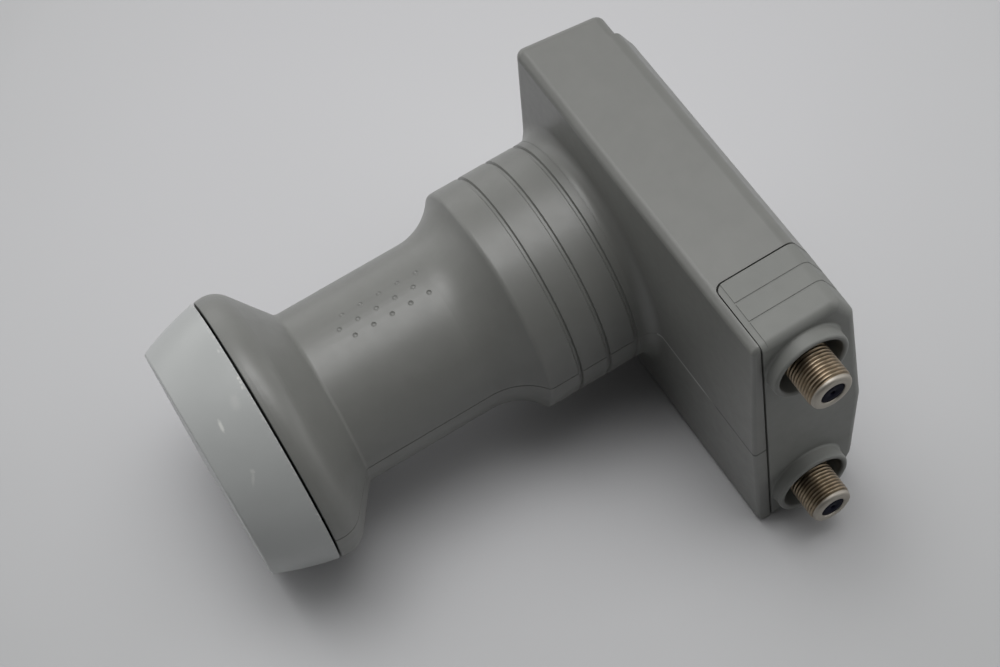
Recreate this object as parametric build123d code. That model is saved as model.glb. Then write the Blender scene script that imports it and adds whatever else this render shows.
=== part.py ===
"""A twin-output satellite LNB: a 40 mm neck with a feed horn and radome in front and a flat box behind.

The neck's axis is Y, from the radome towards the box, and the origin is at the middle of the neck's
clamp length. X points the way the two threaded outputs do, and Z is up with the LNB lying on the
box's narrow side and the horn's rim. All lengths are in millimetres.
"""
from build123d import *
from math import atan, degrees, hypot, sqrt
import os

# Neck, horn and collar, turned about the Y axis
neck_r = 20.0
neck_len = 30.0
horn_r = 31.2
horn_mouth_fall = 0.6
horn_len = 13.2
horn_rim_len = 4.5
horn_rim_round = 6.0
horn_root_round = 1.2
mouth_edge_round = 0.3
flare_len = 10.9
collar_r = 26.0
collar_len = 25.6
collar_edge_round = 1.3
collar_root_round = 3.0
turned_wall = 2.2

# Grooves round the collar and dimples on the neck
groove_count = 3
groove_first = 7.2
groove_pitch = 6.9
groove_width = 1.1
groove_floor = 0.55
groove_depth = 0.55
dimple_rows = 3
dimples_per_row = 5
dimple_pitch = 4.35
dimple_stagger = 1.05
dimple_mid_y = 3.6
dimple_row_turn = 8.3
dimple_r = 0.6
dimple_depth = 0.22

# Box behind the collar, with a gabled left end, a gabled back and a front that leans from the parting line
box_height = 72.4
box_left = 28.9
box_left_slope = 0.107
box_left_draft = 2.6
front_lean_top = 1.2
front_lean_bottom = 0.2
box_right = 62.5
box_depth = 20.7
shoulder_out = 3.7
shoulder_drop = 7.6
ridge_out = 5.65
back_panel_in = 13.4
box_edge_round = 2.0
back_edge_round = 2.8
shoulder_round = 3.0
strip_end_round = 0.8
box_wall = 1.6
front_wall = 2.9

# Parting line of the two shells
seam_width = 0.24
seam_depth = 0.5

# Weather shield that slides on the box's open end
shield_len = 16.1
shield_gap = 0.32
shield_corner_round = 2.0
shield_out = 0.3
shield_end_wall = 2.4
shield_end_round = 1.9
shield_taper = 0.3
slide_gap = 0.3
skirt_wall = 1.1
skirt_len = 22.0
slide_travel = 18.0
rib_groove_first = 5.1
rib_groove_pitch = 4.75
rib_groove_count = 2
rib_groove_width = 0.34
rib_high = 0.16
rib_edge_round = 0.12
rib_border = 1.2
stop_lug_width = 4.0
stop_lug_len = 3.0
stop_lug_high = 1.2
stop_lug_spread = 20.0
stop_slot_play = 0.3

# Outputs: threaded barrels, taken at the thread's outside, in the casting's end wall
output_back = 0.1
output_margin = 11.4
output_reach = 10.3
barrel_r = 4.76
barrel_neck_r = 4.3
barrel_chamfer = 0.7
barrel_bore_r = 2.5
insulator_recess = 1.0
contact_r = 0.45
contact_recess = 1.2
contact_reach = 6.0
hex_across = 11.0
hex_len = 3.0
shield_hole_r = 7.2
shield_rim_r = 8.5
shield_rim_high = 3.2
shield_rim_round = 0.6
shield_rim_root = 0.5

# Radome cap
radome_len = 13.6
radome_taper = 4.3
radome_bow = 0.4
radome_crown = 0.5
radome_edge_round = 0.7
radome_wall = 1.6
radome_socket_wall = 3.3
radome_gap = 0.5

# Metal casting: feed mouth, waveguide and circuit tray
guide_r = 9.0
guide_wall = 3.0
feed_mouth_wall = 3.4
feed_rim_gap = 0.8
feed_flange_gap = 0.2
feed_flange_len = 3.4
feed_flange_back = 1.8
feed_throat_len = 25.0
feed_front_gap = 0.6
choke_width = 1.4
choke_depth = 6.0
support_ring_gap = 0.2
support_ring_len = 3.0
support_ring_spread = 9.0
seat_r = 27.5
tray_end_in = 17.5
tray_wall = 4.5
tray_floor = 2.0
tray_gap = 0.4
tray_back_gap = 0.3
output_wall = 4.5
output_wall_rise = 1.0
contact_rise = 0.05
board_thick = 1.6
board_gap = 0.2
board_ledge = 1.5
probe_width = 1.8
probe_len = 5.0
gasket_thick = 0.6
cover_thick = 1.6
backshort_wall = 2.0
backshort_gap = 0.2
cover_screw_r = 1.2
cover_screw_len = 8.0
cover_screw_inset = 2.5
cover_head_r = 1.9
cover_head_high = 1.1
screw_hole_gap = 0.1
seal_cord_r = 0.6
seal_fit = 0.05
output_seal_r = 0.45

# Parts soldered on the board
chip_size = (9.0, 1.0, 9.0)
chip_place = (17.0, 5.0)
crystal_size = (5.0, 1.2, 3.2)
crystal_place = (25.5, 5.0)
regulator_size = (6.5, 2.3, 6.1)
regulator_x = 30.0
regulator_spread = 11.0

# Screws that draw the shells together
housing_screw_in = 16.1
boss_guide_gap = 1.6
housing_screw_r = 1.4
housing_screw_reach = 8.0
housing_head_r = 2.7
housing_head_high = 2.0
housing_head_z = 8.0
boss_wall = 1.6
boss_hole_gap = 0.1

# Places of the housing and the shield, worked out from the sizes above
neck_front = -neck_len / 2
neck_back = neck_len / 2
mouth_y = neck_front - horn_len
horn_mouth_r = horn_r - horn_mouth_fall
collar_front = neck_back + flare_len
box_front = collar_front + collar_len
box_back = box_front + box_depth
box_mid = box_height / 2 - horn_r
box_top = box_mid + box_height / 2
box_bottom = box_mid - box_height / 2
back_panel_left = box_left - back_panel_in
cavity_front = box_front + front_wall
shield_seam_x = box_right - shield_len
shield_front = cavity_front + shield_gap
shield_left = shield_seam_x + shield_gap
shield_right = box_right + shield_out
skirt_left = shield_left - skirt_len
skirt_inset = box_wall + slide_gap
shield_wall = skirt_inset + skirt_wall
output_y = (cavity_front + box_back) / 2 + output_back
output_z = [box_top - output_margin, box_bottom + output_margin]
output_tip_x = box_right + output_reach

# Places of the radome and the casting's feed mouth
radome_back = mouth_y - radome_gap
radome_front = radome_back - radome_len
radome_r = horn_mouth_r
radome_tip_r = radome_r - radome_taper
radome_socket_r = radome_r - radome_socket_wall
radome_seal_r = radome_socket_r - seal_fit - seal_cord_r
feed_front = radome_front + radome_wall + feed_front_gap
feed_rim_r = radome_tip_r - radome_wall - feed_rim_gap
feed_mouth_r = feed_rim_r - feed_mouth_wall
feed_flange_r = radome_socket_r - feed_flange_gap
flange_back = radome_back - feed_flange_back
flange_front = flange_back - feed_flange_len
guide_out = guide_r + guide_wall

# Places of the circuit tray, its board and its cover
tray_front = shield_front + skirt_wall + tray_gap
tray_left = back_panel_left
tray_right = box_right - tray_end_in
tray_top = box_top - shield_wall - tray_gap
tray_bottom = box_bottom + shield_wall + tray_gap
tray_rim_y = box_back - box_wall - tray_back_gap - cover_head_high - cover_thick - gasket_thick
output_wall_in = tray_right - output_wall
output_wall_back = output_y + hex_across / 2 + output_wall_rise
tray_in_left = -tray_left + tray_wall
tray_in_right = output_wall_in - tray_wall
tray_in_top = tray_top - tray_wall
tray_in_bottom = tray_bottom + tray_wall
cover_right = output_wall_in - board_gap
cover_y = tray_rim_y + gasket_thick
board_top = output_y - contact_r - contact_rise
board_y = board_top - board_thick

# Places of the screws that draw the shells together
boss_r = housing_head_r + boss_hole_gap + boss_wall
housing_screw_x = guide_out + boss_guide_gap + boss_r
housing_screw_y = collar_front + housing_screw_in

# How far cutting shapes run past what they cut, and a length past the whole part
over = 1.0
beyond = 200.0


def block(x0, x1, y0, y1, z0, z1):
    """A box between two corners."""
    size = (x1 - x0, y1 - y0, z1 - z0)
    middle = ((x0 + x1) / 2, (y0 + y1) / 2, (z0 + z1) / 2)
    return Pos(*middle) * Box(*size)


def rod(radius, start, end, axis, place):
    """A round rod along an axis, at a place given by the other two coordinates in X, Y, Z order."""
    length = end - start
    middle = (start + end) / 2
    if axis == "X":
        return Pos(middle, place[0], place[1]) * Rot(0, 90, 0) * Cylinder(radius, length)
    if axis == "Y":
        return Pos(place[0], middle, place[1]) * Rot(90, 0, 0) * Cylinder(radius, length)
    return Pos(place[0], place[1], middle) * Cylinder(radius, length)


def turn_y(points):
    """Turns a closed outline of (radius, y) points about the Y axis."""
    return revolve(Polygon(*points, align=None), Axis.Y)


def turn_x(outline, place):
    """Turns an outline drawn as (x, radius) about the X axis, and sets it at a place in Y and Z."""
    return Pos(0, place[0], place[1]) * revolve(outline, Axis.X)


def inset_chain(points, amount):
    """A chain of points moved to its right by an amount, with mitred corners."""
    moved = []
    for (x0, y0), (x1, y1) in zip(points[:-1], points[1:]):
        length = hypot(x1 - x0, y1 - y0)
        shift = ((y1 - y0) / length * amount, -(x1 - x0) / length * amount)
        moved.append(((x0 + shift[0], y0 + shift[1]), (x1 + shift[0], y1 + shift[1])))
    chain = [moved[0][0]]
    for (a, b), (c, d) in zip(moved[:-1], moved[1:]):
        ab = (b[0] - a[0], b[1] - a[1])
        cd = (d[0] - c[0], d[1] - c[1])
        cross = ab[0] * cd[1] - ab[1] * cd[0]
        along = ((c[0] - a[0]) * cd[1] - (c[1] - a[1]) * cd[0]) / cross
        chain.append((a[0] + ab[0] * along, a[1] + ab[1] * along))
    chain.append(moved[-1][1])
    return chain


def turned_form(inset, front, back):
    """Horn, neck, flare and collar as one turned solid, inside the true surface by an inset."""
    rise = collar_r - neck_r
    bend = (rise ** 2 + flare_len ** 2) / (2 * rise) + inset
    flare_end = neck_back + sqrt(2 * bend * rise - rise ** 2)
    half_turn = sqrt((1 + (bend - rise) / bend) / 2)
    mid_y = neck_back + bend * sqrt(1 - half_turn ** 2)
    mid_r = neck_r - inset + bend * (1 - half_turn)
    rim_y = mouth_y + horn_rim_len
    horn = [(mouth_y, horn_mouth_r), (rim_y, horn_r), (neck_front, neck_r), (neck_back, neck_r)]
    mouth, rim, root, neck_end = [(r, y) for y, r in inset_chain(horn, inset)]
    collar = collar_r - inset
    lip = [(mouth[0], front)] if front < mouth[1] else []
    shoulder = (collar, flare_end)
    lines = Polyline(neck_end, root, rim, mouth, *lip, (0, front), (0, back), (collar, back), shoulder)
    lines += ThreePointArc(shoulder, (mid_r, mid_y), neck_end)
    outline = make_face(lines)
    outline = fillet(outline.vertices().sort_by_distance((rim[0], rim[1], 0))[0], horn_rim_round - inset)
    if inset == 0:
        outline = fillet(outline.vertices().sort_by_distance((root[0], root[1], 0))[0], horn_root_round)
        outline = fillet(outline.vertices().sort_by_distance((mouth[0], mouth[1], 0))[0], mouth_edge_round)
        outline = fillet(outline.vertices().sort_by_distance((collar, flare_end, 0))[0], collar_edge_round)
    return revolve(outline, Axis.Y)


def back_chain(inset):
    """Top, chamfer and gable of the box's back as (y, z) points, inside the true surface by an inset."""
    points = [
        (box_front, box_top),
        (box_back, box_top),
        (box_back + shoulder_out, box_top - shoulder_drop),
        (box_back + ridge_out, 0),
        (box_back + shoulder_out, box_bottom + shoulder_drop),
        (box_back, box_bottom),
        (box_front, box_bottom),
    ]
    return inset_chain(points, inset)


def section(inset, front):
    """The box's section across X, from a front plane to the gabled back, inside by an inset."""
    chain = back_chain(inset)
    chain[0] = (front, chain[0][1])
    chain[-1] = (front, chain[-1][1])
    return Polygon(*chain, align=None)


def rounded_section(inset, front):
    """The box's section behind a front plane, inside by an inset, with its back corners rounded."""
    chain = back_chain(inset)
    outline = section(inset, front)
    for (y, z), edge_round in ((chain[1], back_edge_round), (chain[2], shoulder_round)):
        near = outline.vertices().sort_by(lambda v: abs(v.X - y))[:2]
        outline = fillet(near, edge_round - inset)
    return outline


def along_x(outline, start, end):
    """A prism of a (y, z) outline between two places along X."""
    return extrude(Plane.YZ.offset(start) * outline, end - start, dir=(1, 0, 0))


def end_outline(inset, draft, right):
    """The box seen along Y: its gabled left end, and a straight right end, as (x, z) points."""
    top, bottom = box_top - inset, box_bottom + inset
    left = -box_left + draft + inset
    high, low = left + box_left_slope * top, left - box_left_slope * bottom
    points = [(high, top), (right, top), (right, bottom), (low, bottom), (left, 0)]
    return Polygon(*points, align=None)


def along_y(inset, right, start, end):
    """The box's gabled outline carried along Y, with the left end drafted in towards the back."""
    per_mm = box_left_draft / box_depth
    faces = []
    for y in (start, end):
        faces.append(Plane.XZ.offset(-y) * end_outline(inset, (y - box_front) * per_mm, right))
    return loft(faces)


def box_half(end, lean):
    """One half of the box's block, from the parting plane to its top or bottom, drafted and rounded."""
    faces = []
    for z in (0, end):
        front = box_front + lean * z / end
        left = -box_left + box_left_slope * abs(z)
        front_left = left + box_left_draft * (front - box_front) / box_depth
        back_left = left + box_left_draft
        corners = [(front_left, front), (box_right, front), (box_right, box_back), (back_left, box_back)]
        faces.append(Plane.XY.offset(z) * Polygon(*corners, align=None))
    half = loft(faces)
    outer = half.edges().filter_by(lambda e: abs(e.center().Z) > over)
    half = fillet(outer.filter_by(lambda e: e.center().X < box_right - over), box_edge_round)
    outer = half.edges().filter_by(lambda e: abs(e.center().Z) > over)
    return fillet(outer.filter_by(lambda e: e.center().X > box_right - strip_end_round / 2), strip_end_round)


def box_form():
    """The box's outer form: a drafted, rounded block, and the gabled panel that stands up on its back."""
    base = box_half(box_top, front_lean_top) + box_half(box_bottom, front_lean_bottom)
    panel_front = box_front + front_lean_top + 2 * box_edge_round
    return base + along_x(rounded_section(0, panel_front), -back_panel_left, box_right)


def collar_root():
    """The hollow round where the collar meets the box's leaning front, kept inside the box's outline."""
    y0 = box_front - collar_root_round
    r1 = collar_r + collar_root_round
    turn = collar_root_round * (1 - sqrt(0.5))
    lines = Polyline((0, y0), (0, box_front + over), (r1, box_front + over), (r1, box_front))
    lines += ThreePointArc((r1, box_front), (collar_r + turn, box_front - turn), (collar_r, y0))
    lines += Line((collar_r, y0), (0, y0))
    ring = Pos(0, -box_front, 0) * revolve(make_face(lines), Axis.Y)
    halves = []
    for end, lean in ((box_top, front_lean_top), (box_bottom, front_lean_bottom)):
        tilted = Pos(0, box_front, 0) * Rot(-degrees(atan(lean / end)), 0, 0) * ring
        clear = seam_width / 4 if end > 0 else -seam_width / 4
        halves.append(tilted & block(-beyond, beyond, 0, beyond, min(clear, end), max(clear, end)))
    return (halves[0] + halves[1]) & along_y(box_edge_round, box_right, y0 - over, box_front + 3 * over)


def shield_plan(gap, right):
    """The shield's outline seen from above, grown smaller by a gap, with its rounded inner corner."""
    x0, y0 = shield_seam_x + gap, cavity_front + gap
    outline = Polygon((x0, y0), (right, y0), (right, beyond), (x0, beyond), align=None)
    corner = outline.vertices().sort_by_distance((x0, y0, 0))[0]
    return fillet(corner, shield_corner_round - gap / 2)


def along_z(outline):
    """A tall prism of an (x, y) outline, through the whole part."""
    return extrude(Plane.XY.offset(-beyond / 2) * outline, beyond, dir=(0, 0, 1))


def collar_grooves():
    """Rings with sloped sides that cut the grooves round the collar."""
    rings = []
    for i in range(groove_count):
        y = collar_front + groove_first + i * groove_pitch
        deep, out = collar_r - groove_depth, collar_r + groove_depth
        low, high = groove_floor / 2, groove_width - groove_floor / 2
        rings.append(turn_y([(deep, y - low), (out, y - high), (out, y + high), (deep, y + low)]))
    return rings


def dimples():
    """Balls that cut the staggered dimples on top of the neck."""
    ball_r = (dimple_r ** 2 + dimple_depth ** 2) / (2 * dimple_depth)
    balls = []
    for row in range(dimple_rows):
        turn = (row - (dimple_rows - 1) / 2) * dimple_row_turn
        side = -1 if row % 2 else 1
        for i in range(dimples_per_row):
            y = dimple_mid_y + side * dimple_stagger + (i - (dimples_per_row - 1) / 2) * dimple_pitch
            ball = Pos(0, y, neck_r + ball_r - dimple_depth) * Sphere(ball_r)
            balls.append(Rot(0, turn, 0) * ball)
    return balls


def stop_places():
    """Heights of the two stop lugs that limit the shield's travel."""
    return [box_mid + stop_lug_spread, box_mid - stop_lug_spread]


def stop_slots():
    """Slots in the back of the front wall that the shield's lugs run in."""
    slots = []
    for z in stop_places():
        half = stop_lug_width / 2 + stop_slot_play
        x1 = skirt_left + stop_lug_len + slide_travel + stop_slot_play
        y0 = shield_front - stop_lug_high - stop_slot_play
        slots.append(block(skirt_left - stop_slot_play, x1, y0, cavity_front + over, z - half, z + half))
    return slots


def housing():
    """Both shells as one hollow form, before it is parted."""
    outer = turned_form(0, mouth_y, cavity_front) + box_form() + collar_root()
    cavity_back = box_back + ridge_out
    cavity = along_x(section(box_wall, cavity_front), -box_left, box_right + over)
    cavity = cavity & along_y(box_wall, box_right + over, cavity_front, cavity_back)
    cavity -= block(-beyond, -back_panel_left + box_wall, box_back - box_wall, beyond, -beyond, beyond)
    hollow = turned_form(turned_wall, mouth_y - over, cavity_front + over)
    seam = turned_form(seam_depth, mouth_y - over, box_front)
    inside = along_x(section(seam_depth, box_front + seam_depth), -box_left, box_right - seam_depth)
    inside = inside & along_y(seam_depth, box_right, box_front, cavity_back)
    band = block(-beyond, beyond, -beyond, beyond, -seam_width / 2, seam_width / 2) - seam - inside
    bosses = []
    holes = []
    for x in (-housing_screw_x, housing_screw_x):
        place = (x, housing_screw_y)
        bosses.append(rod(boss_r, -collar_r, collar_r, "Z", place))
        reach = housing_screw_reach + over
        holes.append(rod(housing_screw_r + boss_hole_gap, -collar_r, reach, "Z", place))
        holes.append(rod(housing_head_r + boss_hole_gap, -collar_r - over, -housing_head_z, "Z", place))
    form = outer - cavity - hollow
    form += (bosses[0] + bosses[1]) & turned_form(turned_wall / 2, mouth_y, box_front)
    form -= along_z(shield_plan(0, beyond))
    for cut in holes + collar_grooves() + dimples() + stop_slots() + [band]:
        form -= cut
    return form


def shells():
    """The upper and lower shells, parted in the level plane through the neck's axis."""
    form = housing()
    upper = form & block(-beyond, beyond, -beyond, beyond, 0, beyond)
    lower = form & block(-beyond, beyond, -beyond, beyond, -beyond, 0)
    return upper, lower


def shield_rim(z):
    """The raised rim round an output's hole, with a hollow root and a rounded lip."""
    x0, x1 = shield_right, shield_right + shield_rim_high
    root_r = shield_rim_r + shield_rim_root
    turn = shield_rim_root * (1 - sqrt(0.5))
    deep = x0 - shield_end_wall
    lines = Polyline((deep, 0), (deep, shield_rim_r), (x0 - shield_rim_root, root_r), (x0, root_r))
    top = (x0 + shield_rim_root, shield_rim_r)
    lines += ThreePointArc((x0, root_r), (x0 + turn, shield_rim_r + turn), top)
    lines += Polyline(top, (x1, shield_rim_r), (x1, 0), (deep, 0))
    outline = make_face(lines)
    lip = outline.vertices().sort_by_distance((x1, shield_rim_r, 0))[0]
    rim = turn_x(fillet(lip, shield_rim_round), (output_y, z))
    return rim & along_x(section(0, shield_front), shield_right - shield_end_wall, beyond)


def shield_hole(z):
    """What is cut away for an output: a round hole whose mouth rounds over the rim's lip."""
    x1 = shield_right + shield_rim_high
    mouth_r = shield_hole_r + shield_rim_round
    turn = shield_rim_round * (1 - sqrt(0.5))
    inner, outer = (x1 - shield_rim_round, shield_hole_r), (x1, mouth_r)
    lines = ThreePointArc(inner, (x1 - turn, shield_hole_r + turn), outer)
    lines += Polyline(outer, (x1 + over, mouth_r), (x1 + over, 0))
    lines += Polyline((x1 + over, 0), (skirt_left, 0), (skirt_left, shield_hole_r), inner)
    return turn_x(make_face(lines), (output_y, z))


def tapered(inset, front, start, end):
    """A length of the shield's cap, which tapers from its seam to its end, inside by an inset."""
    faces = []
    for x in (start, end):
        fall = shield_taper * (x - shield_left) / (shield_right - shield_left)
        faces.append(Plane.YZ.offset(x) * rounded_section(inset + fall, front))
    return loft(faces, ruled=True)


def round_end(solid, radius):
    """Rounds the edges of a length's right end, but for the straight one in front."""
    end = solid.faces().sort_by(Axis.X)[-1]
    return fillet(end.edges().sort_by(Axis.Y)[1:], radius)


def shield_rib(start, end):
    """One of the low ribs round the cap, with rounded edges along the grooves and in front."""
    front = shield_front + rib_border
    rib = tapered(0, front, start, end)
    if end == shield_right:
        rib = round_end(rib, shield_end_round)
    inner_ends = [x for x in (start, end) if shield_left < x < shield_right]
    soft = []
    for edge in rib.edges():
        place = edge.center()
        in_front = place.Y < front + rib_edge_round
        at_groove = any(abs(place.X - x) < rib_edge_round for x in inner_ends)
        lengthwise = start + over < place.X < end - over
        if (at_groove and not in_front) or (in_front and lengthwise):
            soft.append(edge)
    return fillet(soft, rib_edge_round)


def shield_cap():
    """The outside of the shield: a tapered core with ribs round it, and a rounded inner corner."""
    cap = round_end(tapered(rib_high, shield_front, shield_left, shield_right), shield_end_round - rib_high)
    grooves = [shield_left + rib_groove_first + i * rib_groove_pitch for i in range(rib_groove_count)]
    starts = [shield_left] + [x + rib_groove_width / 2 for x in grooves]
    ends = [x - rib_groove_width / 2 for x in grooves] + [shield_right]
    for start, end in zip(starts, ends):
        cap += shield_rib(start, end)
    return cap & along_z(shield_plan(shield_gap, beyond))


def weather_shield():
    """The ribbed cap with its two rimmed holes, sliding skirt, and stop lugs."""
    cap = shield_cap()
    cap += along_x(section(skirt_inset, shield_front), skirt_left, shield_left + over)
    for z in output_z:
        cap += shield_rim(z)
    inner_front = shield_front + skirt_wall
    cap -= along_x(section(shield_wall, inner_front), skirt_left - over, shield_right - shield_end_wall)
    for z in output_z:
        cap -= shield_hole(z)
    for z in stop_places():
        y0 = shield_front - stop_lug_high
        half = stop_lug_width / 2
        y1 = shield_front + skirt_wall / 2
        cap += block(skirt_left, skirt_left + stop_lug_len, y0, y1, z - half, z + half)
    return cap


def radome_outline(inset):
    """The radome's half section as (radius, y), inside the true surface by an inset."""
    front, back = radome_front + inset, radome_back
    tip, rim = radome_tip_r - inset, radome_r - inset
    bow = ((tip + rim) / 2 + radome_bow, (front + back) / 2)
    lines = ThreePointArc((tip, front), bow, (rim, back))
    lines += Polyline((rim, back), (0, back), (0, front - radome_crown))
    lines += Line((0, front - radome_crown), (tip, front))
    outline = make_face(lines)
    edge = outline.vertices().sort_by_distance((tip, front, 0))[0]
    return fillet(edge, radome_edge_round)


def radome_cap():
    """The cap over the feed mouth, a thin cup with a bowed wall and a slightly crowned face."""
    hollow = revolve(radome_outline(radome_wall), Axis.Y)
    hollow = hollow & rod(radome_socket_r, radome_front, radome_back, "Y", (0, 0))
    socket = rod(radome_socket_r, flange_front - feed_front_gap, radome_back + over, "Y", (0, 0))
    return revolve(radome_outline(0), Axis.Y) - hollow - socket


def cast_chassis():
    """Feed mouth with choke rings, waveguide, and the open circuit tray, cast in one."""
    throat_y = feed_front + feed_throat_len
    cone = [
        (0, feed_front), (feed_rim_r, feed_front), (feed_rim_r, flange_front),
        (feed_flange_r, flange_front), (feed_flange_r, flange_back), (feed_rim_r, flange_back),
        (guide_out, throat_y), (guide_out, cavity_front), (0, cavity_front),
    ]
    body = turn_y(cone)
    for side in (-1, 1):
        y = side * support_ring_spread
        ring_r = neck_r - turned_wall - support_ring_gap
        body += rod(ring_r, y - support_ring_len / 2, y + support_ring_len / 2, "Y", (0, 0))
    seat = rod(seat_r, cavity_front, tray_front + over, "Y", (0, 0))
    seat = seat & block(-tray_left - tray_wall, skirt_left - tray_gap, 0, beyond, tray_bottom, tray_top)
    body += seat
    body += block(-tray_left, tray_right, tray_front, tray_rim_y, tray_bottom, tray_top)
    body += block(output_wall_in, tray_right, tray_front, output_wall_back, tray_bottom, tray_top)
    body -= block(tray_in_left, tray_in_right, board_y, beyond, tray_in_bottom, tray_in_top)
    ledge = board_ledge
    well = block(tray_in_left + ledge, tray_in_right - ledge, tray_front + tray_floor, beyond,
                 tray_in_bottom + ledge, tray_in_top - ledge)
    body -= well - rod(guide_out, 0, board_y, "Y", (0, 0))
    body -= turn_y([(0, feed_front - over), (feed_mouth_r, feed_front - over), (feed_mouth_r, feed_front),
                    (guide_r, throat_y), (0, throat_y)])
    body -= rod(guide_r, throat_y - over, beyond, "Y", (0, 0))
    choke_r = (feed_mouth_r + feed_rim_r) / 2
    choke_in, choke_out = choke_r - choke_width / 2, choke_r + choke_width / 2
    choke_end = feed_front + choke_depth
    body -= turn_y([(choke_in, feed_front - over), (choke_out, feed_front - over),
                    (choke_out, choke_end), (choke_in, choke_end)])
    groove_y = (flange_front + flange_back) / 2
    groove = seal_cord_r + seal_fit
    seat = radome_seal_r - groove
    body -= turn_y([(seat, groove_y - groove), (feed_flange_r + over, groove_y - groove),
                    (feed_flange_r + over, groove_y + groove), (seat, groove_y + groove)])
    for x, z in cover_screw_places():
        body -= rod(cover_screw_r + screw_hole_gap, tray_rim_y - cover_screw_len, beyond, "Y", (x, z))
    for z in output_z:
        body -= rod(barrel_bore_r + screw_hole_gap, tray_in_right - over, beyond, "X", (output_y, z))
        body -= rod(barrel_neck_r + screw_hole_gap, output_wall_in, beyond, "X", (output_y, z))
        ring_deep = 2 * output_seal_r + screw_hole_gap
        ring_r = barrel_neck_r + ring_deep + screw_hole_gap
        body -= rod(ring_r, tray_right - ring_deep, beyond, "X", (output_y, z))
    return body


def cover_screw_places():
    """Places of the cover's screws in X and Z, along the middle of the tray's wall."""
    inset = cover_screw_inset
    xs = [-tray_left + inset, (cover_right - tray_left) / 2, cover_right - inset]
    return [(x, z) for x in xs for z in (tray_bottom + inset, tray_top - inset)]


def circuit_board():
    """The board on the tray's ledge, with two probes standing into its waveguide window."""
    gap = board_gap
    board = block(tray_in_left + gap, tray_in_right - gap, board_y, board_top,
                  tray_in_bottom + gap, tray_in_top - gap)
    board -= rod(guide_r, board_y - over, board_top + over, "Y", (0, 0))
    half = probe_width / 2
    start = guide_r - probe_len
    board += block(start, guide_r + over, board_y, board_top, -half, half)
    board += block(-half, half, board_y, board_top, start, guide_r + over)
    return board


def chassis_cover():
    """The tray's metal cover, with the waveguide's closed end standing down to the board."""
    cover = block(-tray_left, cover_right, cover_y, cover_y + cover_thick, tray_bottom, tray_top)
    out = guide_r + backshort_wall
    cup = rod(out, board_top + backshort_gap, cover_y + cover_thick / 2, "Y", (0, 0))
    cover += cup & block(tray_in_left + board_gap, beyond, 0, beyond, -beyond, beyond)
    cover -= rod(guide_r, 0, cover_y, "Y", (0, 0))
    for x, z in cover_screw_places():
        cover -= rod(cover_screw_r + screw_hole_gap, 0, beyond, "Y", (x, z))
    return cover


def cover_gasket():
    """A flat frame of gasket between the tray's rim and its cover."""
    frame = block(-tray_left, cover_right, tray_rim_y, cover_y, tray_bottom, tray_top)
    frame -= block(tray_in_left, tray_in_right, 0, beyond, tray_in_bottom, tray_in_top)
    for x, z in cover_screw_places():
        frame -= rod(cover_screw_r + screw_hole_gap, 0, beyond, "Y", (x, z))
    return frame


def cover_screws():
    """The cover's pan-head screws."""
    seat = cover_y + cover_thick
    screws = []
    for x, z in cover_screw_places():
        shank = rod(cover_screw_r, tray_rim_y - cover_screw_len + over, seat + over, "Y", (x, z))
        screws.append(shank + rod(cover_head_r, seat, seat + cover_head_high, "Y", (x, z)))
    return Compound(screws)


def on_board(size, x, z):
    """A rectangular part that stands on the board at a place in X and Z."""
    half_x, half_z = size[0] / 2, size[2] / 2
    return block(x - half_x, x + half_x, board_top, board_top + size[1], z - half_z, z + half_z)


def regulators():
    """The two supply regulators, one for each output."""
    heights = [box_mid - regulator_spread, box_mid + regulator_spread]
    return Compound([on_board(regulator_size, regulator_x, z) for z in heights])


def connector_barrel(z):
    """A threaded output barrel with its hexagon seated on the casting's end wall."""
    place = (output_y, z)
    hexagon = Pos(output_y, z) * RegularPolygon(hex_across / 2, 6, major_radius=False)
    barrel = along_x(hexagon, tray_right, tray_right + hex_len)
    tip = Polygon((tray_right, 0), (tray_right, barrel_r), (output_tip_x - barrel_chamfer, barrel_r),
                  (output_tip_x, barrel_r - barrel_chamfer), (output_tip_x, 0), align=None)
    barrel += turn_x(tip, place)
    barrel += rod(barrel_neck_r, output_wall_in, tray_right + over, "X", place)
    return barrel - rod(barrel_bore_r, output_wall_in - over, output_tip_x + over, "X", place)


def connector_insulator(z):
    """The plug in a barrel's bore, with the hole for the centre contact."""
    place = (output_y, z)
    plug = rod(barrel_bore_r - screw_hole_gap, tray_in_right, output_tip_x - insulator_recess, "X", place)
    return plug - rod(contact_r + screw_hole_gap, tray_in_right - over, output_tip_x, "X", place)


def connector_contact(z):
    """The centre contact, from just inside the plug's face to its solder pad on the board."""
    start = tray_in_right - contact_reach
    return rod(contact_r, start, output_tip_x - insulator_recess - contact_recess, "X", (output_y, z))


def ring(major, minor, axis, place, at):
    """A seal ring about an axis, at a place given by the other two coordinates."""
    if axis == "X":
        return Pos(at, place[0], place[1]) * Rot(0, 90, 0) * Torus(major, minor)
    return Pos(place[0], at, place[1]) * Rot(90, 0, 0) * Torus(major, minor)


def housing_screws():
    """The two screws that draw the shells together, from below."""
    screws = []
    for x in (-housing_screw_x, housing_screw_x):
        place = (x, housing_screw_y)
        head_end = -housing_head_z - housing_head_high
        shank = rod(housing_screw_r, -housing_head_z - over, housing_screw_reach, "Z", place)
        screws.append(shank + rod(housing_head_r, head_end, -housing_head_z, "Z", place))
    return Compound(screws)


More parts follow.
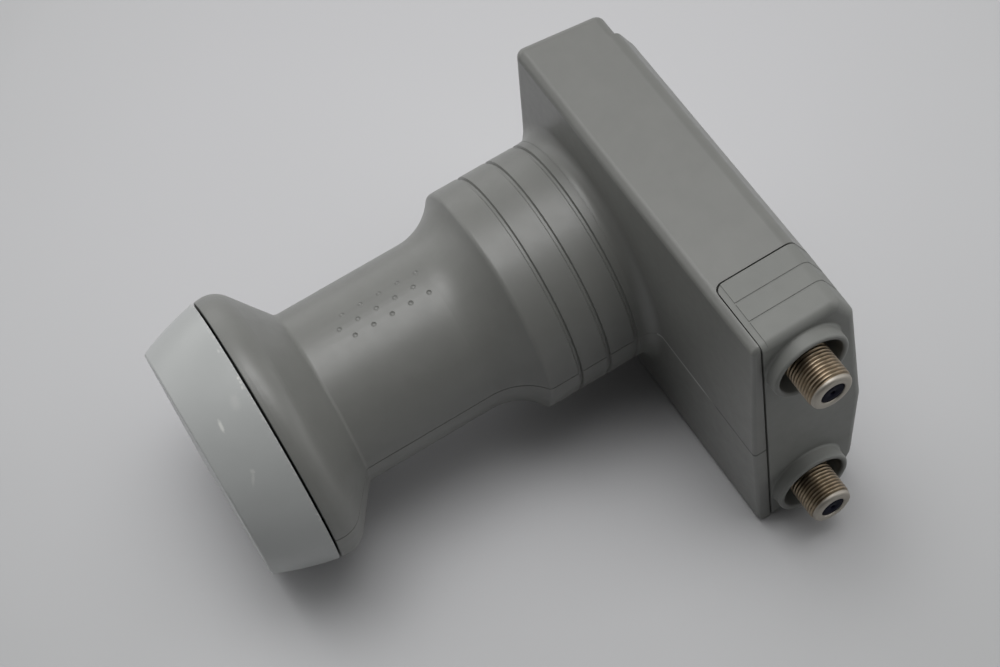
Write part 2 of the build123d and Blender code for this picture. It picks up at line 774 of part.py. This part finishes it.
def main():
    """Builds every piece and writes each to its own file."""
    upper_shell, lower_shell = shells()
    seal_y = (flange_front + flange_back) / 2
    pieces = {
        "radome_cap": radome_cap(),
        "radome_seal": ring(radome_seal_r, seal_cord_r, "Y", (0, 0), seal_y),
        "upper_shell": upper_shell,
        "lower_shell": lower_shell,
        "weather_shield": weather_shield(),
        "cast_chassis": cast_chassis(),
        "circuit_board": circuit_board(),
        "converter_chip": on_board(chip_size, *chip_place),
        "reference_crystal": on_board(crystal_size, *crystal_place),
        "regulators": regulators(),
        "chassis_cover": chassis_cover(),
        "cover_gasket": cover_gasket(),
        "cover_screws": cover_screws(),
        "housing_screws": housing_screws(),
    }
    for number, z in enumerate(output_z, start=1):
        seal_x = tray_right - output_seal_r - screw_hole_gap
        pieces[f"connector_barrel_{number}"] = connector_barrel(z)
        pieces[f"connector_insulator_{number}"] = connector_insulator(z)
        pieces[f"connector_contact_{number}"] = connector_contact(z)
        pieces[f"connector_seal_{number}"] = ring(
            barrel_neck_r + output_seal_r + screw_hole_gap, output_seal_r, "X", (output_y, z), seal_x)
    os.makedirs("parts", exist_ok=True)
    for name, shape in pieces.items():
        export_step(shape, f"parts/{name}.step")


main()
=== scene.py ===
"""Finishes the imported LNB: materials, threaded output barrels, floor, light and camera."""

from math import cos, pi, radians, sin, tau

import bmesh
import bpy
from mathutils import Matrix, Vector


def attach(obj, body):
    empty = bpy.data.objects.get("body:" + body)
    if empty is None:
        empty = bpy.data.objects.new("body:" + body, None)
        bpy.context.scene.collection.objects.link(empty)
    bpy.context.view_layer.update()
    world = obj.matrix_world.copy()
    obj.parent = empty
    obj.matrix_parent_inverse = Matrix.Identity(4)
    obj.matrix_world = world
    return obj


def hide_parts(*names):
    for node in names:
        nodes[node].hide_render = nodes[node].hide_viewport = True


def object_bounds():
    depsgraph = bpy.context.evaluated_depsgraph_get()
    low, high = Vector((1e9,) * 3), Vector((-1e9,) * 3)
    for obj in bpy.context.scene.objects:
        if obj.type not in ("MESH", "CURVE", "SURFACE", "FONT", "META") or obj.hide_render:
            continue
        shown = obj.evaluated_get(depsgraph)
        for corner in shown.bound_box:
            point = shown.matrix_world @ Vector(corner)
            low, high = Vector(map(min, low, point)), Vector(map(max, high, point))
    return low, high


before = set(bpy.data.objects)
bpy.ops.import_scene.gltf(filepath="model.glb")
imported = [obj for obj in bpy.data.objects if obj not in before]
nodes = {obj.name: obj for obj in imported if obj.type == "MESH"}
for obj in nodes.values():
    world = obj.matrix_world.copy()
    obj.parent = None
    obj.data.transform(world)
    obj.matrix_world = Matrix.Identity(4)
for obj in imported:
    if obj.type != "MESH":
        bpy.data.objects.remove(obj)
cad_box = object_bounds()
MM = 0.001

# Camera: the point it looks at, its place by azimuth, elevation, roll and distance, and its lens
CAMERA_TARGET = Vector((8.49, 23.88, 0.5)) * MM
CAMERA_AZIMUTH = radians(72.31)
CAMERA_ELEVATION = radians(58.88)
CAMERA_ROLL = radians(-15.04)
CAMERA_DISTANCE = 443.77 * MM
CAMERA_FOCAL_PX = 2108.16
CAMERA_NEAR = 0.01
IMAGE_WIDTH_PX = 1000
SENSOR_WIDTH = 36.0

# Floor in metres: a painted pool of light, palest at one place, with its tones by share of the way
# to the edge of that
FLOOR_HALF = 3.0
FLOOR_LIGHT_POOL_AT = (-0.0565, 0.0518, 0.0)
FLOOR_LIGHT_POOL_RANGE = (0.015, 0.2)
FLOOR_LIGHT_POOL_TONES = (
    (0.0, (0.567, 0.567, 0.579)),
    (0.4, (0.532, 0.532, 0.544)),
    (0.68, (0.497, 0.499, 0.507)),
    (0.95, (0.420, 0.424, 0.427)),
)
FLOOR_NOISE = (14, 3.0, 0.5)
FLOOR_UNEVEN = 0.03
FLOOR_ROUGH = 0.7

# Smooth patches of sky that light the part: azimuth from +X, elevation, sharpness, strength
SKY_PATCHES = (
    (58.0, 79.1, 90, 3.80),
    (180.0, 75.0, 30, 6.20),
    (180.0, 62.0, 14, 0.38),
    (180.0, 8.0, 8, 1.30),
    (60.0, 62.0, 14, 0.85),
    (90.0, 70.0, 30, 2.00),
    (90.0, 8.0, 8, 1.00),
    (135.0, 20.0, 6, 0.14),
    (225.0, 35.0, 5, 0.25),
    (225.0, 12.0, 8, 0.92),
    (62.0, 14.0, 10, 1.05),
)

# Output barrels in millimetres, along X from the casting's end wall to the tip
BARREL_Y = 63.4
BARREL_ZS = (29.8, -19.8)
BARREL_NECK_START = 40.5
BARREL_NECK_R = 4.3
HEX_START = 45.0
HEX_END = 48.0
HEX_ACROSS = 11.0
HEX_CHAMFER = 0.3
HEX_RING_INSET = 0.05
BARREL_R = 4.76
BARREL_TIP = 72.8
BORE_R = 2.5
BORE_MOUTH_R = 2.72
BORE_MOUTH_DEEP = 0.8
BORE_CHAMFER = 0.12
THREAD_PITCH = 25.4 / 32
THREAD_DEPTH = 0.25
THREAD_CREST = 0.34
THREAD_ROOT = 0.14
THREAD_START = 48.4
THREAD_END = 72.0
THREAD_FADE = 0.7
TIP_RING_R = 4.55
TIP_RING_START = 72.0
TIP_ROUND = 0.75
TIP_ROUND_STEPS = 5
PLUG_START = 36.0
PLUG_R = 2.4
PLUG_FLANGE_R = 2.69
PLUG_FLANGE_START = 72.05
PLUG_FRONT = 72.6
PLUG_ROUND = 0.12
CONTACT_HOLE_R = 0.55
BARREL_SIDES = 96
ROWS_PER_PITCH = 10
SHARP_ANGLE = radians(50)

# Noises as repeats per metre, detail and roughness, and the values of one that a ramp runs between
NOISE_LOW = 0.3
NOISE_HIGH = 0.7
CLOUD_NOISE = (160, 4.0, 0.6)
SHEEN_NOISE = (420, 3.0, 0.6)
GRAIN_NOISE = (5200, 2.0, 0.6)
GRAIN_STRENGTH = 0.12
BUMP_DISTANCE = 0.05 * MM
METAL_SCALE = 900
CASTING_SCALE = 700
METAL_SHEEN_RATIO = 2.3

# Looks: darkest and palest colour, lowest and highest roughness
HOUSING_LOOK = ((0.172, 0.174, 0.164), (0.185, 0.187, 0.176), 0.33, 0.39)
# The lower shell is the housing plastic made a little lighter, as painted light bounced up from
# the floor
LOWER_BOUNCE_LIT_LOOK = ((0.181, 0.183, 0.173), (0.195, 0.197, 0.186), 0.35, 0.41)
SHIELD_LOOK = ((0.177, 0.181, 0.170), (0.190, 0.194, 0.182), 0.50, 0.57)
BOARD_LOOK = ((0.012, 0.10, 0.035), (0.02, 0.14, 0.05), 0.3, 0.4)
CHIP_LOOK = ((0.018, 0.018, 0.018), (0.03, 0.03, 0.03), 0.45, 0.6)
SEAL_LOOK = ((0.012, 0.012, 0.012), (0.022, 0.022, 0.022), 0.55, 0.7)
INSULATOR_LOOK = ((0.0018, 0.0020, 0.009), (0.0034, 0.0038, 0.016), 0.58, 0.68)
INSULATOR_SPECULAR = 0.08
CASTING_LOOK = ((0.55, 0.56, 0.57), (0.66, 0.67, 0.68), 0.42, 0.55)
STEEL_LOOK = ((0.5, 0.5, 0.51), (0.62, 0.62, 0.63), 0.28, 0.4)
CONTACT_LOOK = ((0.7, 0.5, 0.2), (0.8, 0.6, 0.3), 0.2, 0.3)
BARREL_LOOK = ((0.46, 0.35, 0.22), (0.66, 0.55, 0.40), 0.28, 0.40)

# Outputs' plating: painted shade down in the thread and roughness of each, then tarnish and the
# tip
OUTPUT_VALLEY_SHADE = ((0.17, 0.128, 0.084), (0.12, 0.092, 0.058))
OUTPUT_ROUGH = ((0.34, 0.44), (0.30, 0.42))
OUTPUT_SHEEN_NOISE = (1900, 3.0, 0.6)
OUTPUT_CREST_SHARE = 0.2
TARNISH_NOISE = (700, 4.0, 0.6)
TARNISH_DARK = (0.24, 0.182, 0.120)
TARNISH_PALE = (0.40, 0.332, 0.245)
TIP_COLOUR = (0.43, 0.40, 0.355)
TIP_ROUGH = 0.55
TIP_BLEND = 0.3

# Radome: clean and worn plastic, and the chalky wear along its rim in millimetres
RADOME_CLOUD_NOISE = (90, 3.0, 0.5)
RADOME_DARK = (0.392, 0.404, 0.398)
RADOME_PALE = (0.410, 0.422, 0.416)
RADOME_WORN = (0.66, 0.66, 0.63)
RADOME_GLOSS_NOISE = (120, 1.0, 0.5)
RADOME_ROUGH = (0.29, 0.31)
RADOME_WORN_ROUGH = 0.6
RADOME_WAVE_NOISE = (700, 2.0, 0.5)
RADOME_WAVE_STRENGTH = 0.02
RADOME_RIM_Y = -28.7
RADOME_WEAR_WIDTH = 0.7
CHALK_NOISE = (1500, 4.0, 0.7)
CHALK_RANGE = (0.48, 0.62)
CHALK_STRENGTH = 0.6

# Light scuffs on the radome in millimetres: middle, half length as a vector, half width, strength
SCUFFS = (
    ((9.85, -36.63, 26.70), (1.15, -0.09, -0.46), 0.34, 0.75),
    ((20.05, -36.40, 20.30), (0.75, -0.65, -1.00), 0.30, 0.30),
    ((19.20, -35.80, 21.40), (0.35, 0.20, -0.30), 0.35, 0.35),
    ((4.42, -29.10, 30.20), (0.30, 0.00, -0.05), 0.26, 0.80),
    ((5.50, -29.15, 30.00), (0.35, 0.00, -0.07), 0.22, 0.60),
    ((6.50, -29.35, 29.75), (0.40, -0.10, -0.09), 0.20, 0.55),
    ((8.00, -31.97, 28.77), (1.40, -0.40, -0.40), 0.90, 0.16),
    ((-3.31, -29.60, 30.20), (0.45, 0.00, 0.05), 0.24, 0.40),
)
SCUFF_NOISE = (2600, 3.0, 0.6)
SCUFF_RAGGED = 1.4
SCUFF_EDGE = (2.1, 1.2)
SCUFF_HEIGHT_RATIO = 2

# Fine line in millimetres where the shells meet round the box, and its tones by share along X
PARTING_HALF = 0.28
PARTING_SOFT = 0.1
PARTING_FRONT_Y = 51.0
PARTING_PALE_TO_Y = 53.0
PARTING_X = (0.0, 70.0)
PARTING_DARK = (0.06, 0.06, 0.057)
PARTING_PALE = (0.46, 0.46, 0.45)
PARTING_TONES = (
    (0.30, PARTING_DARK),
    (0.40, PARTING_PALE),
    (0.63, PARTING_PALE),
    (0.70, PARTING_DARK),
)


def new_material(name):
    """A node material, its tree and its principled shader."""
    material = bpy.data.materials.new(name)
    material.use_nodes = True
    tree = material.node_tree
    return material, tree, tree.nodes["Principled BSDF"]


def add(tree, kind, **values):
    """Adds a node, and sets its own properties and its input sockets by name."""
    node = tree.nodes.new(kind)
    for name, value in values.items():
        if hasattr(node, name):
            setattr(node, name, value)
        else:
            node.inputs[name.replace("_", " ")].default_value = value
    return node


def math_node(tree, operation, first, second=0.0):
    """A sum on one or two inputs, each a socket or a number."""
    node = add(tree, "ShaderNodeMath", operation=operation)
    for socket, value in zip(node.inputs, (first, second)):
        if isinstance(value, (int, float)):
            socket.default_value = value
        else:
            tree.links.new(value, socket)
    return node.outputs[0]


def vector_node(tree, operation, first):
    """A vector sum whose first input is a socket."""
    node = add(tree, "ShaderNodeVectorMath", operation=operation)
    tree.links.new(first, node.inputs[0])
    return node


def split_up(tree, place):
    """The X, Y and Z of a place, as sockets."""
    node = tree.nodes.new("ShaderNodeSeparateXYZ")
    tree.links.new(place, node.inputs["Vector"])
    return node.outputs


def ramp(tree, source, stops):
    """A colour ramp from a value, with stops of (position, colour)."""
    node = tree.nodes.new("ShaderNodeValToRGB")
    elements = node.color_ramp.elements
    while len(elements) < len(stops):
        elements.new(0.5)
    for element, (position, colour) in zip(elements, stops):
        element.position = position
        element.color = (*colour, 1.0)
    tree.links.new(source, node.inputs["Fac"])
    return node.outputs["Color"]


def noise_ramp(tree, kind, low, high):
    """A colour that a noise carries between two colours."""
    return ramp(tree, noise(tree, *kind), [(NOISE_LOW, low), (NOISE_HIGH, high)])


def blend(tree, share, first, second):
    """A colour between two, by a share that is a socket; each is a socket or a plain colour."""
    node = add(tree, "ShaderNodeMix", data_type="RGBA")
    colours = [socket for socket in node.inputs if socket.type == "RGBA"]
    tree.links.new(share, node.inputs[0])
    for socket, value in zip(colours, (first, second)):
        if isinstance(value, tuple):
            socket.default_value = (*value, 1.0)
        else:
            tree.links.new(value, socket)
    return next(socket for socket in node.outputs if socket.type == "RGBA")


def spread(tree, value, low, high):
    """A value carried from low..high to 0..1, and kept there."""
    node = add(tree, "ShaderNodeMapRange", From_Min=low, From_Max=high, To_Min=0.0, To_Max=1.0)
    tree.links.new(value, node.inputs["Value"])
    return node.outputs["Result"]


def place_in(tree):
    """The place on the surface in the part's own frame, in metres."""
    return tree.nodes.new("ShaderNodeTexCoord").outputs["Object"]


def noise(tree, scale, detail, roughness):
    """Noise in the part's own frame, with its scale in repeats per metre."""
    node = add(tree, "ShaderNodeTexNoise", Scale=scale, Detail=detail, Roughness=roughness)
    tree.links.new(place_in(tree), node.inputs["Vector"])
    return node.outputs["Fac"]


def bump(tree, shader, kind, strength):
    """Carries a noise into the shader's normal."""
    node = add(tree, "ShaderNodeBump", Strength=strength, Distance=BUMP_DISTANCE)
    tree.links.new(noise(tree, *kind), node.inputs["Height"])
    tree.links.new(node.outputs["Normal"], shader.inputs["Normal"])


def grey(value):
    """A neutral colour."""
    return (value, value, value)


def parting_line(tree, colour):
    """A colour with a fine line where the shells meet round the box, pale in one stretch."""
    x, y, z = split_up(tree, place_in(tree))
    height = math_node(tree, "ABSOLUTE", z)
    near = spread(tree, height, (PARTING_HALF + PARTING_SOFT) * MM, PARTING_HALF * MM)
    on_box = math_node(tree, "GREATER_THAN", y, PARTING_FRONT_Y * MM)
    along = spread(tree, x, PARTING_X[0] * MM, PARTING_X[1] * MM)
    in_front = math_node(tree, "LESS_THAN", y, PARTING_PALE_TO_Y * MM)
    tone = ramp(tree, math_node(tree, "MULTIPLY", along, in_front), PARTING_TONES)
    return blend(tree, math_node(tree, "MULTIPLY", near, on_box), colour, tone)


def moulded_plastic(name, dark, light, rough_low, rough_high, parted=False):
    """Moulded plastic with a faint cloudiness, fine spark-eroded grain and uneven sheen."""
    material, tree, shader = new_material(name)
    colour = noise_ramp(tree, CLOUD_NOISE, dark, light)
    if parted:
        colour = parting_line(tree, colour)
    tree.links.new(colour, shader.inputs["Base Color"])
    rough = noise_ramp(tree, SHEEN_NOISE, grey(rough_low), grey(rough_high))
    tree.links.new(rough, shader.inputs["Roughness"])
    bump(tree, shader, GRAIN_NOISE, GRAIN_STRENGTH)
    return material


def metal(name, dark, light, rough_low, rough_high, scale=METAL_SCALE):
    """Plated or cast metal with slight changes of tint and gloss over its surface."""
    material, tree, shader = new_material(name)
    shader.inputs["Metallic"].default_value = 1.0
    colour = noise_ramp(tree, (scale, *CLOUD_NOISE[1:]), dark, light)
    tree.links.new(colour, shader.inputs["Base Color"])
    sheen = (scale * METAL_SHEEN_RATIO, *SHEEN_NOISE[1:])
    rough = noise_ramp(tree, sheen, grey(rough_low), grey(rough_high))
    tree.links.new(rough, shader.inputs["Roughness"])
    return material


def scuff_mask(tree, middle, along, half_width, strength):
    """A soft-edged long patch round a middle, from 0 outside to its strength inside."""
    reach = Vector((Vector(along).length, half_width, half_width * SCUFF_HEIGHT_RATIO))
    local = add(tree, "ShaderNodeMapping", vector_type="TEXTURE")
    local.inputs["Location"].default_value = Vector(middle) * MM
    local.inputs["Rotation"].default_value = Vector(along).to_track_quat("X", "Z").to_euler()
    local.inputs["Scale"].default_value = reach * MM
    tree.links.new(place_in(tree), local.inputs["Vector"])
    away = vector_node(tree, "LENGTH", local.outputs["Vector"]).outputs["Value"]
    rough_edge = math_node(tree, "MULTIPLY", noise(tree, *SCUFF_NOISE), SCUFF_RAGGED)
    ragged = math_node(tree, "ADD", rough_edge, away)
    return math_node(tree, "MULTIPLY", spread(tree, ragged, *SCUFF_EDGE), strength)


def radome_material():
    """Semi-gloss white plastic with light scuffs, and a chalky worn edge along the rim."""
    material, tree, shader = new_material("radome_plastic")
    unmarked = noise_ramp(tree, RADOME_CLOUD_NOISE, RADOME_DARK, RADOME_PALE)
    _, y, _ = split_up(tree, place_in(tree))
    rim = spread(tree, y, (RADOME_RIM_Y - RADOME_WEAR_WIDTH) * MM, RADOME_RIM_Y * MM)
    chalk = spread(tree, noise(tree, *CHALK_NOISE), *CHALK_RANGE)
    worn = math_node(tree, "MULTIPLY", math_node(tree, "MULTIPLY", rim, chalk), CHALK_STRENGTH)
    for scuff in SCUFFS:
        worn = math_node(tree, "MAXIMUM", worn, scuff_mask(tree, *scuff))
    tree.links.new(blend(tree, worn, unmarked, RADOME_WORN), shader.inputs["Base Color"])
    gloss = noise_ramp(tree, RADOME_GLOSS_NOISE, *map(grey, RADOME_ROUGH))
    rough = blend(tree, worn, gloss, grey(RADOME_WORN_ROUGH))
    tree.links.new(rough, shader.inputs["Roughness"])
    bump(tree, shader, RADOME_WAVE_NOISE, RADOME_WAVE_STRENGTH)
    return material


def output_material(number, z):
    """Tarnished nickel plating, with painted shade down in the thread that leaves the crests and
    tip bright.
    """
    material, tree, shader = new_material(f"output_nickel_{number}")
    shader.inputs["Metallic"].default_value = 1.0
    offset = vector_node(tree, "SUBTRACT", place_in(tree))
    offset.inputs[1].default_value = Vector((0, BARREL_Y, z)) * MM
    along, across, high = split_up(tree, offset.outputs["Vector"])
    across_squared = math_node(tree, "MULTIPLY", across, across)
    high_squared = math_node(tree, "MULTIPLY", high, high)
    radius = math_node(tree, "SQRT", math_node(tree, "ADD", across_squared, high_squared))
    # Painted shade: the thread is darkened towards its root by radius, and the crests and the tip
    # are left out of it
    root_r = BARREL_R - THREAD_DEPTH
    crest_r = BARREL_R - THREAD_DEPTH * OUTPUT_CREST_SHARE
    rise = spread(tree, radius, root_r * MM, crest_r * MM)
    tip = spread(tree, along, (TIP_RING_START - TIP_BLEND) * MM, TIP_RING_START * MM)
    unmarked = math_node(tree, "MAXIMUM", rise, tip)
    tarnish = noise_ramp(tree, TARNISH_NOISE, TARNISH_DARK, TARNISH_PALE)
    plated = blend(tree, tip, tarnish, TIP_COLOUR)
    # Blends in the painted shade colour down in the thread
    colour = blend(tree, unmarked, OUTPUT_VALLEY_SHADE[number - 1], plated)
    tree.links.new(colour, shader.inputs["Base Color"])
    crests = noise_ramp(tree, OUTPUT_SHEEN_NOISE, *map(grey, OUTPUT_ROUGH[number - 1]))
    tree.links.new(blend(tree, tip, crests, grey(TIP_ROUGH)), shader.inputs["Roughness"])
    return material


def put(material, *names):
    """Gives CAD nodes a material."""
    for name in names:
        for slot in nodes[name].material_slots:
            slot.material = material


def hexagon_r(_, turn):
    """Distance of the hexagon's outline from the axis, with corners along Y."""
    return HEX_ACROSS / 2 / cos(turn % (pi / 3) - pi / 6)


def thread_r(x, turn):
    """Radius of the right-handed thread, which fades out at both ends."""
    from_ends = min(x - THREAD_START, THREAD_END - x)
    share = max(0.0, min(1.0, from_ends / THREAD_FADE))
    phase = (x / THREAD_PITCH - turn / tau) % 1.0
    from_crest = abs(phase - 0.5) * 2
    height = (1 - THREAD_ROOT - from_crest) / (1 - THREAD_ROOT - THREAD_CREST)
    return BARREL_R - THREAD_DEPTH + THREAD_DEPTH * share * max(0.0, min(1.0, height))


def barrel_rows():
    """Rows of the barrel's outline as (x, radius), round from the bore's back end."""
    end_ring = HEX_ACROSS / 2 - HEX_RING_INSET
    root_r = BARREL_R - THREAD_DEPTH
    rows = [(BARREL_NECK_START, BORE_R), (BARREL_NECK_START, BARREL_NECK_R)]
    rows += [(HEX_START, BARREL_NECK_R), (HEX_START, end_ring), (HEX_START, hexagon_r)]
    rows += [(HEX_END - HEX_CHAMFER, hexagon_r), (HEX_END, end_ring), (HEX_END, root_r)]
    step = THREAD_PITCH / ROWS_PER_PITCH
    for i in range(int((THREAD_END - THREAD_START) / step) + 1):
        rows.append((THREAD_START + i * step, thread_r))
    rows += [(THREAD_END, root_r), (TIP_RING_START, TIP_RING_R)]
    for i in range(TIP_ROUND_STEPS + 1):
        turn = pi / 2 * i / TIP_ROUND_STEPS
        x = BARREL_TIP - TIP_ROUND * (1 - sin(turn))
        rows.append((x, TIP_RING_R - TIP_ROUND * (1 - cos(turn))))
    mouth_floor = BARREL_TIP - BORE_MOUTH_DEEP
    rows += [(BARREL_TIP, BORE_MOUTH_R + BORE_CHAMFER), (BARREL_TIP - BORE_CHAMFER, BORE_MOUTH_R)]
    rows += [(mouth_floor, BORE_MOUTH_R), (mouth_floor, BORE_R)]
    return rows


def plug_rows():
    """Rows of the plug in the bore: a long stem, and a flange that closes the bore's mouth."""
    rows = [(PLUG_START, CONTACT_HOLE_R), (PLUG_START, PLUG_R), (PLUG_FLANGE_START, PLUG_R)]
    rows += [(PLUG_FLANGE_START, PLUG_FLANGE_R), (PLUG_FRONT - PLUG_ROUND, PLUG_FLANGE_R)]
    rows += [(PLUG_FRONT, PLUG_FLANGE_R - PLUG_ROUND), (PLUG_FRONT, CONTACT_HOLE_R + PLUG_ROUND)]
    rows += [(PLUG_FRONT - PLUG_ROUND, CONTACT_HOLE_R)]
    return rows


def turned_piece(name, rows, z, material, node):
    """A closed mesh of rows about an output's axis, in a CAD node's place.

    A row's radius is a number, or a function of x and the turn about the axis.
    """
    mesh = bmesh.new()
    rings = []
    for x, radius in rows:
        ring = []
        for k in range(BARREL_SIDES):
            turn = tau * k / BARREL_SIDES
            r = radius(x, turn) if callable(radius) else radius
            place = Vector((x, BARREL_Y + r * cos(turn), z + r * sin(turn)))
            ring.append(mesh.verts.new(place * MM))
        rings.append(ring)
    for a, b in zip(rings, rings[1:] + rings[:1]):
        for k in range(BARREL_SIDES):
            n = (k + 1) % BARREL_SIDES
            mesh.faces.new((a[k], a[n], b[n], b[k])).smooth = True
    bmesh.ops.recalc_face_normals(mesh, faces=mesh.faces)
    data = bpy.data.meshes.new(name)
    mesh.to_mesh(data)
    mesh.free()
    data.set_sharp_from_angle(angle=SHARP_ANGLE)
    data.materials.append(material)
    piece = bpy.data.objects.new(name, data)
    bpy.context.scene.collection.objects.link(piece)
    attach(piece, "housing")
    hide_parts(node)


def camera():
    """The camera at the photograph's place, turn and lens."""
    flat = cos(CAMERA_ELEVATION)
    back = Vector((sin(CAMERA_AZIMUTH) * flat, -cos(CAMERA_AZIMUTH) * flat, sin(CAMERA_ELEVATION)))
    level = Vector((cos(CAMERA_AZIMUTH), sin(CAMERA_AZIMUTH), 0))
    rise = back.cross(level)
    right = cos(CAMERA_ROLL) * level + sin(CAMERA_ROLL) * rise
    up = -sin(CAMERA_ROLL) * level + cos(CAMERA_ROLL) * rise
    data = bpy.data.cameras.new("camera")
    data.sensor_fit = "HORIZONTAL"
    data.sensor_width = SENSOR_WIDTH
    data.lens = CAMERA_FOCAL_PX * SENSOR_WIDTH / IMAGE_WIDTH_PX
    data.clip_start = CAMERA_NEAR
    item = bpy.data.objects.new("camera", data)
    bpy.context.scene.collection.objects.link(item)
    turn = Matrix((right, up, back)).transposed().to_4x4()
    item.matrix_world = Matrix.Translation(CAMERA_TARGET + CAMERA_DISTANCE * back) @ turn
    bpy.context.scene.camera = item


def floor():
    """A wide pale floor under the part, with a painted pool of light round its palest place."""
    mesh = bmesh.new()
    bmesh.ops.create_grid(mesh, x_segments=1, y_segments=1, size=FLOOR_HALF)
    data = bpy.data.meshes.new("floor")
    mesh.to_mesh(data)
    mesh.free()
    item = bpy.data.objects.new("floor", data)
    item.location = (0, 0, cad_box[0][2])
    bpy.context.scene.collection.objects.link(item)
    material, tree, shader = new_material("floor")
    # The floor's colour is a painted pool of light: palest at one place, darker further away
    away = vector_node(tree, "DISTANCE", place_in(tree))
    away.inputs[1].default_value = FLOOR_LIGHT_POOL_AT
    uneven = math_node(tree, "MULTIPLY", noise(tree, *FLOOR_NOISE), FLOOR_UNEVEN)
    distance = math_node(tree, "ADD", away.outputs["Value"], uneven)
    tone = spread(tree, distance, *FLOOR_LIGHT_POOL_RANGE)
    tree.links.new(ramp(tree, tone, FLOOR_LIGHT_POOL_TONES), shader.inputs["Base Color"])
    shader.inputs["Roughness"].default_value = FLOOR_ROUGH
    data.materials.append(material)


def sky():
    """A soft surround, brightest overhead, made of smooth patches."""
    item = bpy.data.worlds.new("surround")
    item.use_nodes = True
    tree = item.node_tree
    direction = tree.nodes.new("ShaderNodeTexCoord").outputs["Generated"]
    total = 0.0
    for azimuth, elevation, sharpness, strength in SKY_PATCHES:
        a, e = radians(azimuth), radians(elevation)
        facing = vector_node(tree, "DOT_PRODUCT", direction)
        facing.inputs[1].default_value = (cos(e) * cos(a), cos(e) * sin(a), sin(e))
        lit = math_node(tree, "MAXIMUM", facing.outputs["Value"], 0.0)
        patch = math_node(tree, "MULTIPLY", math_node(tree, "POWER", lit, sharpness), strength)
        total = math_node(tree, "ADD", patch, total)
    background = tree.nodes["Background"]
    background.inputs["Color"].default_value = (1, 1, 1, 1)
    tree.links.new(total, background.inputs["Strength"])
    bpy.context.scene.world = item


put(moulded_plastic("housing_plastic", *HOUSING_LOOK, parted=True), "upper_shell")
put(moulded_plastic("shield_plastic", *SHIELD_LOOK), "weather_shield")
# Lower shell: lighter plastic, as painted light bounced up from the floor
put(moulded_plastic("lower_plastic_bounce_lit", *LOWER_BOUNCE_LIT_LOOK, parted=True), "lower_shell")
put(radome_material(), "radome_cap")
put(metal("cast_metal", *CASTING_LOOK, CASTING_SCALE), "cast_chassis", "chassis_cover")
put(moulded_plastic("board_mask", *BOARD_LOOK), "circuit_board")
put(moulded_plastic("chip_black", *CHIP_LOOK), "converter_chip", "regulators")
put(metal("zinc_steel", *STEEL_LOOK), "reference_crystal", "cover_screws", "housing_screws")
put(moulded_plastic("seal_rubber", *SEAL_LOOK),
    "radome_seal", "cover_gasket", "connector_seal_1", "connector_seal_2")
insulator_blue = moulded_plastic("insulator_blue", *INSULATOR_LOOK)
insulator_shader = insulator_blue.node_tree.nodes["Principled BSDF"]
insulator_shader.inputs["Specular IOR Level"].default_value = INSULATOR_SPECULAR
put(insulator_blue, "connector_insulator_1", "connector_insulator_2")
put(metal("contact_gold", *CONTACT_LOOK), "connector_contact_1", "connector_contact_2")
put(metal("barrel_nickel", *BARREL_LOOK), "connector_barrel_1", "connector_barrel_2")
for number, z in enumerate(BARREL_ZS, start=1):
    turned_piece(f"output_barrel_{number}", barrel_rows(), z, output_material(number, z),
                 f"connector_barrel_{number}")
    turned_piece(f"output_plug_{number}", plug_rows(), z, insulator_blue,
                 f"connector_insulator_{number}")

camera()
floor()
sky()
bpy.context.scene.view_settings.view_transform = "Standard"
